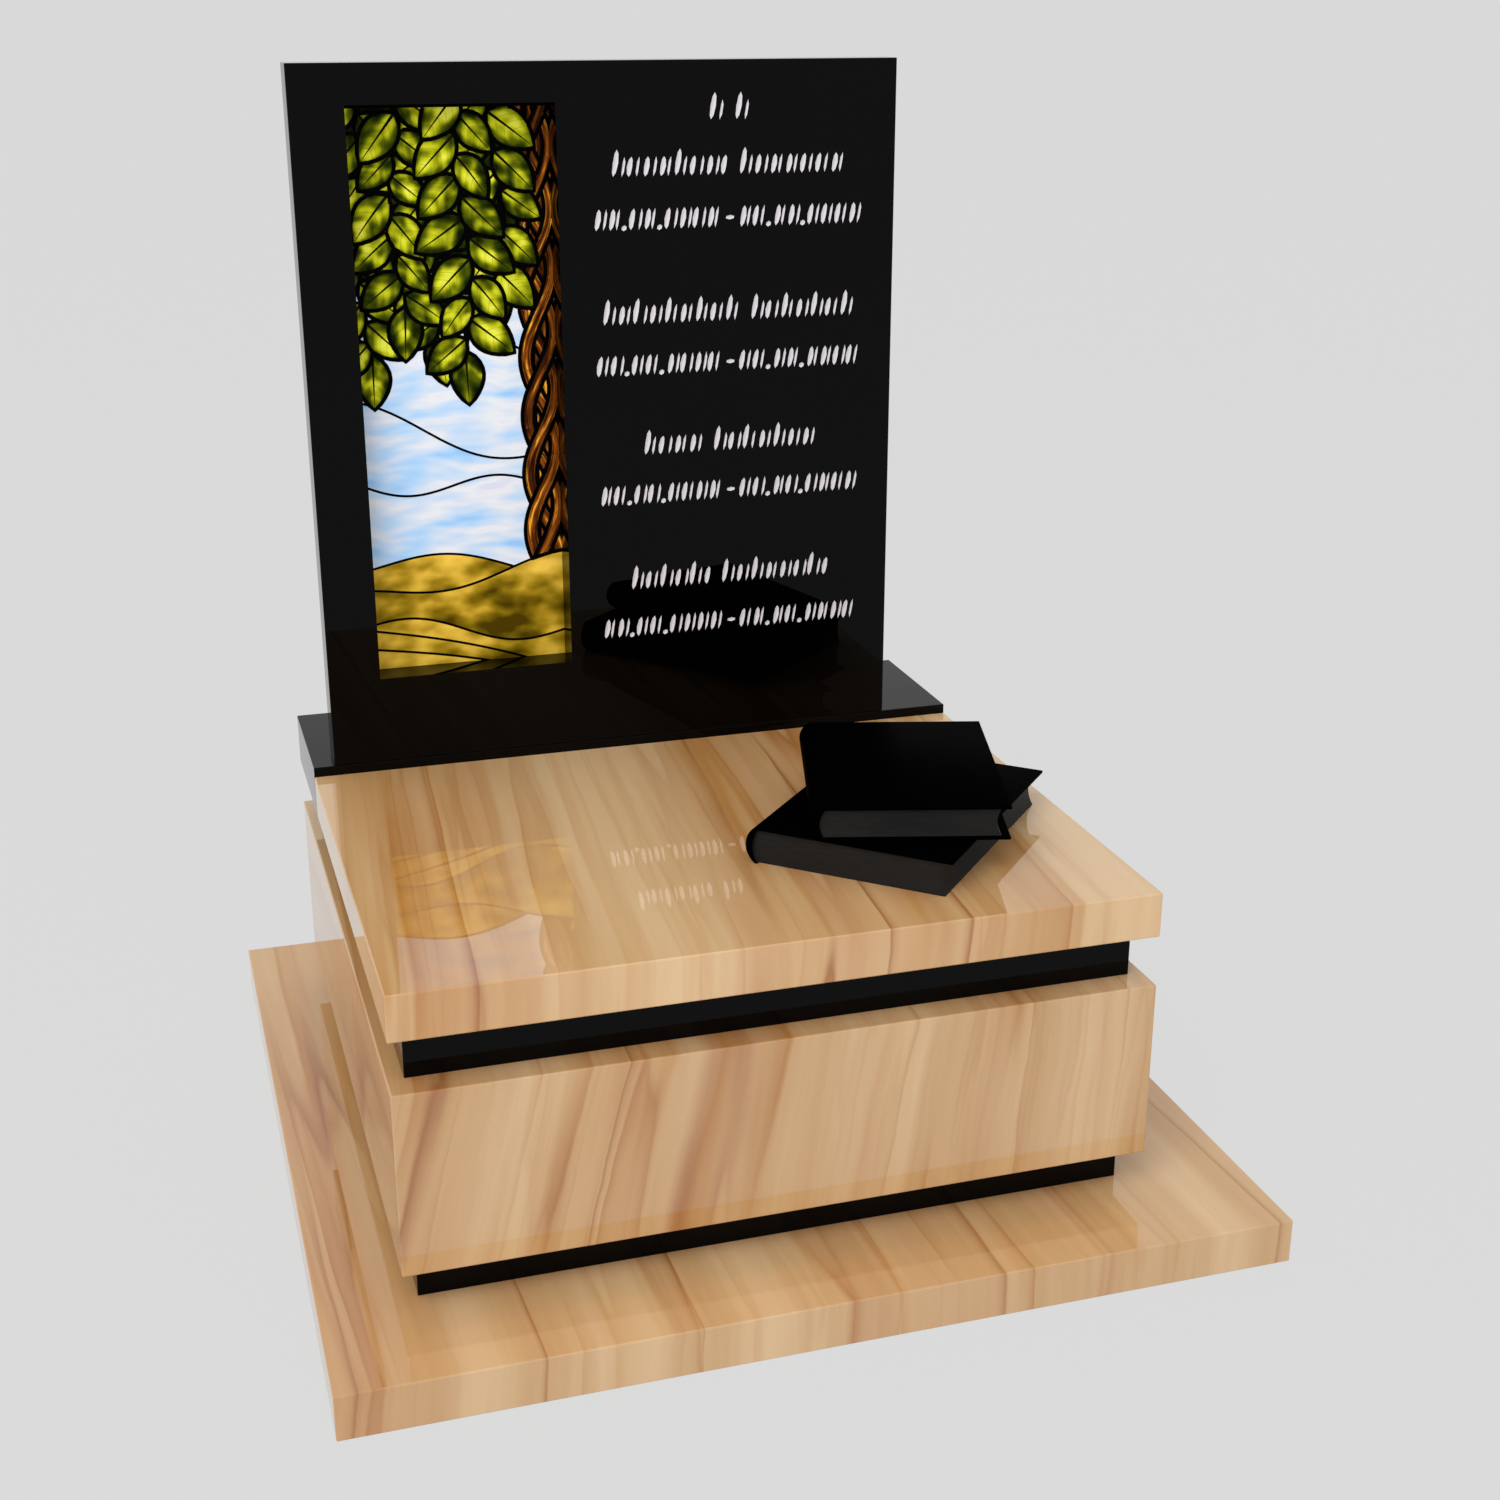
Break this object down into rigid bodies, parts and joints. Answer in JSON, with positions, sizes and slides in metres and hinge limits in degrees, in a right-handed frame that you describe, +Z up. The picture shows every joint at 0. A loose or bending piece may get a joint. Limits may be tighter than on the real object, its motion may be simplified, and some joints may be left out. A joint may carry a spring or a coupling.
{
  "type": "urn grave memorial",
  "caption": "Urn grave memorial of polished sandstone and black granite: urn box on a base slab, cover slab, headstone with a glass window, and two stone books.",
  "frame": {"origin": "centre of the base slab's underside", "axes": "+Z up, +Y towards the back, +X to the right of someone who reads the headstone"},
  "size_m": [1.006, 1.004, 1.202],
  "materials": {
    "sandstone": "polished",
    "black_granite": "mirror polished",
    "book_granite": "honed",
    "stained_glass": "glossy, coloured, opaque from the front"
  },
  "bodies": {
    "root": {"base_slab": "sandstone", "lower_black_frame": "black_granite", "urn_chamber_box": "sandstone", "upper_black_frame": "black_granite", "cover_slab": "sandstone", "headstone_plinth": "black_granite", "headstone": "black_granite", "stained_glass_panel": "stained_glass", "lower_book": "book_granite", "upper_book": "book_granite"}
  },
  "joints": []
}
